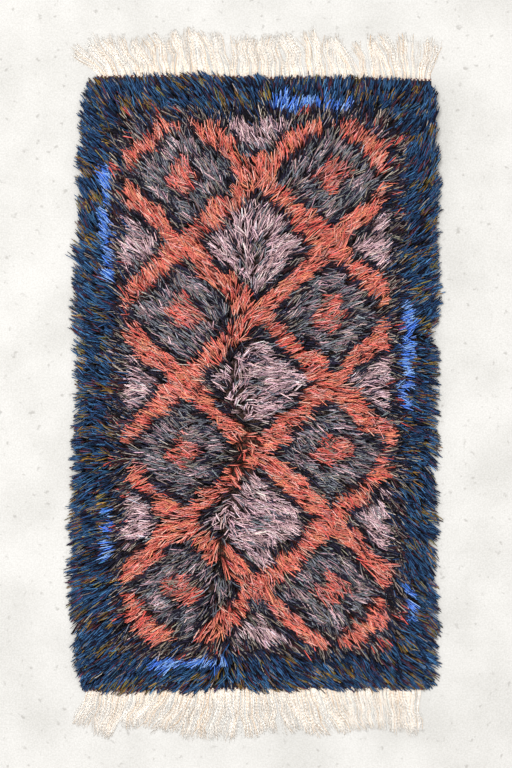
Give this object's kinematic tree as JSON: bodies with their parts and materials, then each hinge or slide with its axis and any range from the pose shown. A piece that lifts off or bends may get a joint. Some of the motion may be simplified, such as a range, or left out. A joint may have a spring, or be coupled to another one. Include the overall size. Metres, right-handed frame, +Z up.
{
  "type": "rya rug",
  "caption": "Small rectangular shag rug lying flat: woven ground, deep knotted wool pile with a dark border round a lozenge field, warp fringe at both ends.",
  "frame": {"origin": "on the flat underside, below the middle of the woven ground", "axes": "+Z up through the pile; +Y along the rug's length, towards the end that is uppermost in the picture; +X to the right there"},
  "size_m": [0.747, 1.4012, 0.027],
  "materials": {
    "ground_wool": "weft-faced plain weave",
    "pile_wool": "long two-ply wool pile in several colours",
    "warp_yarn": "undyed twisted yarn"
  },
  "bodies": {
    "root": {"ground_weave": "ground_wool", "pile": "pile_wool", "fringe_far_end": "warp_yarn", "fringe_near_end": "warp_yarn"}
  },
  "joints": []
}
